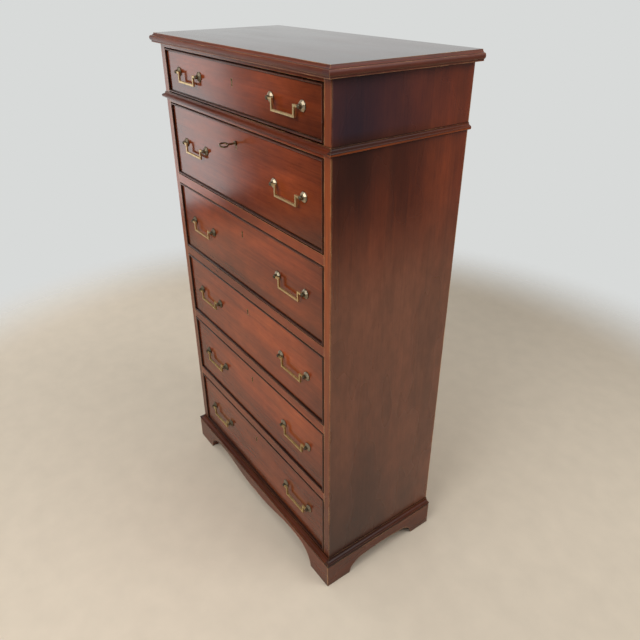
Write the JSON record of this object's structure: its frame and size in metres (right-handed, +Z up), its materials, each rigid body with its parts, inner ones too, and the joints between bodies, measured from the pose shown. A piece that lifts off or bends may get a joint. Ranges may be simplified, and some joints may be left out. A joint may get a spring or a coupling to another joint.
{
  "type": "tall chest of drawers",
  "caption": "Tall narrow mahogany chest of drawers with a moulded top, waist moulding, cock-beaded fronts, brass swan-neck bail handles, locks and a bracket-foot plinth.",
  "frame": {"origin": "on the floor, below the middle of the box round the whole object", "axes": "+Z up, -Y to the front where the drawers open, +X to the right seen from the front"},
  "size_m": [0.696, 0.366, 1.2],
  "materials": {
    "mahogany": "french polished",
    "pine": "planed, aged",
    "brass": "aged",
    "iron": "dulled"
  },
  "bodies": {
    "carcase": {"top_board": "mahogany", "left_side": "mahogany", "right_side": "mahogany", "back_boards": "pine", "drawer_rails": "mahogany", "waist_moulding": "mahogany", "base_moulding": "mahogany", "plinth": "mahogany", "corner_blocks": "pine", "drawer_runners": "pine", "dust_boards": "pine"},
    "drawer_1": {"drawer_1_front": "mahogany", "drawer_1_cock_bead": "mahogany", "drawer_1_box": "pine", "drawer_1_lock": "brass", "drawer_1_handle_posts": "brass"},
    "drawer_1_bail_left": {"drawer_1_bail_left": "brass"},
    "drawer_1_bail_right": {"drawer_1_bail_right": "brass"},
    "drawer_1_bolt": {"drawer_1_lock_bolt": "brass"},
    "drawer_2": {"drawer_2_front": "mahogany", "drawer_2_cock_bead": "mahogany", "drawer_2_box": "pine", "drawer_2_lock": "brass", "drawer_2_handle_posts": "brass"},
    "drawer_2_bail_left": {"drawer_2_bail_left": "brass"},
    "drawer_2_bail_right": {"drawer_2_bail_right": "brass"},
    "drawer_2_bolt": {"drawer_2_lock_bolt": "brass"},
    "drawer_3": {"drawer_3_front": "mahogany", "drawer_3_cock_bead": "mahogany", "drawer_3_box": "pine", "drawer_3_lock": "brass", "drawer_3_handle_posts": "brass"},
    "drawer_3_bail_left": {"drawer_3_bail_left": "brass"},
    "drawer_3_bail_right": {"drawer_3_bail_right": "brass"},
    "drawer_3_bolt": {"drawer_3_lock_bolt": "brass"},
    "drawer_4": {"drawer_4_front": "mahogany", "drawer_4_cock_bead": "mahogany", "drawer_4_box": "pine", "drawer_4_lock": "brass", "drawer_4_handle_posts": "brass"},
    "drawer_4_bail_left": {"drawer_4_bail_left": "brass"},
    "drawer_4_bail_right": {"drawer_4_bail_right": "brass"},
    "drawer_4_bolt": {"drawer_4_lock_bolt": "brass"},
    "drawer_5": {"drawer_5_front": "mahogany", "drawer_5_cock_bead": "mahogany", "drawer_5_box": "pine", "drawer_5_lock": "brass", "drawer_5_handle_posts": "brass"},
    "drawer_5_bail_left": {"drawer_5_bail_left": "brass"},
    "drawer_5_bail_right": {"drawer_5_bail_right": "brass"},
    "drawer_5_bolt": {"drawer_5_lock_bolt": "brass"},
    "drawer_6": {"drawer_6_front": "mahogany", "drawer_6_cock_bead": "mahogany", "drawer_6_box": "pine", "drawer_6_lock": "brass", "drawer_6_handle_posts": "brass"},
    "drawer_6_bail_left": {"drawer_6_bail_left": "brass"},
    "drawer_6_bail_right": {"drawer_6_bail_right": "brass"},
    "drawer_6_bolt": {"drawer_6_lock_bolt": "brass"},
    "key": {"key": "iron"}
  },
  "joints": [
    {"name": "drawer_1_slide", "type": "slide", "parent": "carcase", "child": "drawer_1", "axis": [0, -1, 0], "range_m": [0, 0.24]},
    {"name": "drawer_1_bail_left_swing", "type": "hinge", "parent": "drawer_1", "child": "drawer_1_bail_left", "pos_m": [-0.195, -0.153, 1.1245], "axis": [-1, 0, 0], "range_deg": [-14, 194]},
    {"name": "drawer_1_bail_right_swing", "type": "hinge", "parent": "drawer_1", "child": "drawer_1_bail_right", "pos_m": [0.195, -0.153, 1.1245], "axis": [-1, 0, 0], "range_deg": [-14, 194]},
    {"name": "drawer_1_bolt_slide", "type": "slide", "parent": "drawer_1", "child": "drawer_1_bolt", "axis": [0, 0, 1], "range_m": [0, 0.007]},
    {"name": "drawer_2_slide", "type": "slide", "parent": "carcase", "child": "drawer_2", "axis": [0, -1, 0], "range_m": [0, 0.24]},
    {"name": "drawer_2_bail_left_swing", "type": "hinge", "parent": "drawer_2", "child": "drawer_2_bail_left", "pos_m": [-0.195, -0.153, 0.965], "axis": [-1, 0, 0], "range_deg": [-14, 194]},
    {"name": "drawer_2_bail_right_swing", "type": "hinge", "parent": "drawer_2", "child": "drawer_2_bail_right", "pos_m": [0.195, -0.153, 0.965], "axis": [-1, 0, 0], "range_deg": [-14, 194]},
    {"name": "drawer_2_bolt_slide", "type": "slide", "parent": "drawer_2", "child": "drawer_2_bolt", "axis": [0, 0, 1], "range_m": [-0.0023, 0.007]},
    {"name": "drawer_3_slide", "type": "slide", "parent": "carcase", "child": "drawer_3", "axis": [0, -1, 0], "range_m": [0, 0.24]},
    {"name": "drawer_3_bail_left_swing", "type": "hinge", "parent": "drawer_3", "child": "drawer_3_bail_left", "pos_m": [-0.195, -0.153, 0.767], "axis": [-1, 0, 0], "range_deg": [-14, 194]},
    {"name": "drawer_3_bail_right_swing", "type": "hinge", "parent": "drawer_3", "child": "drawer_3_bail_right", "pos_m": [0.195, -0.153, 0.767], "axis": [-1, 0, 0], "range_deg": [-14, 194]},
    {"name": "drawer_3_bolt_slide", "type": "slide", "parent": "drawer_3", "child": "drawer_3_bolt", "axis": [0, 0, 1], "range_m": [0, 0.007]},
    {"name": "drawer_4_slide", "type": "slide", "parent": "carcase", "child": "drawer_4", "axis": [0, -1, 0], "range_m": [0, 0.24]},
    {"name": "drawer_4_bail_left_swing", "type": "hinge", "parent": "drawer_4", "child": "drawer_4_bail_left", "pos_m": [-0.195, -0.153, 0.569], "axis": [-1, 0, 0], "range_deg": [-14, 194]},
    {"name": "drawer_4_bail_right_swing", "type": "hinge", "parent": "drawer_4", "child": "drawer_4_bail_right", "pos_m": [0.195, -0.153, 0.569], "axis": [-1, 0, 0], "range_deg": [-14, 194]},
    {"name": "drawer_4_bolt_slide", "type": "slide", "parent": "drawer_4", "child": "drawer_4_bolt", "axis": [0, 0, 1], "range_m": [0, 0.007]},
    {"name": "drawer_5_slide", "type": "slide", "parent": "carcase", "child": "drawer_5", "axis": [0, -1, 0], "range_m": [0, 0.24]},
    {"name": "drawer_5_bail_left_swing", "type": "hinge", "parent": "drawer_5", "child": "drawer_5_bail_left", "pos_m": [-0.195, -0.153, 0.371], "axis": [-1, 0, 0], "range_deg": [-14, 194]},
    {"name": "drawer_5_bail_right_swing", "type": "hinge", "parent": "drawer_5", "child": "drawer_5_bail_right", "pos_m": [0.195, -0.153, 0.371], "axis": [-1, 0, 0], "range_deg": [-14, 194]},
    {"name": "drawer_5_bolt_slide", "type": "slide", "parent": "drawer_5", "child": "drawer_5_bolt", "axis": [0, 0, 1], "range_m": [0, 0.007]},
    {"name": "drawer_6_slide", "type": "slide", "parent": "carcase", "child": "drawer_6", "axis": [0, -1, 0], "range_m": [0, 0.24]},
    {"name": "drawer_6_bail_left_swing", "type": "hinge", "parent": "drawer_6", "child": "drawer_6_bail_left", "pos_m": [-0.195, -0.153, 0.173], "axis": [-1, 0, 0], "range_deg": [-14, 194]},
    {"name": "drawer_6_bail_right_swing", "type": "hinge", "parent": "drawer_6", "child": "drawer_6_bail_right", "pos_m": [0.195, -0.153, 0.173], "axis": [-1, 0, 0], "range_deg": [-14, 194]},
    {"name": "drawer_6_bolt_slide", "type": "slide", "parent": "drawer_6", "child": "drawer_6_bolt", "axis": [0, 0, 1], "range_m": [0, 0.007]},
    {"name": "key_turn", "type": "hinge", "parent": "drawer_2", "child": "key", "pos_m": [0, -0.145, 1.0127], "axis": [0, 1, 0], "range_deg": [-90, 270]}
  ],
  "couplings": [
    {"joint": "key_turn", "follows": "drawer_2_bolt_slide", "rad_per_m": 673}
  ]
}
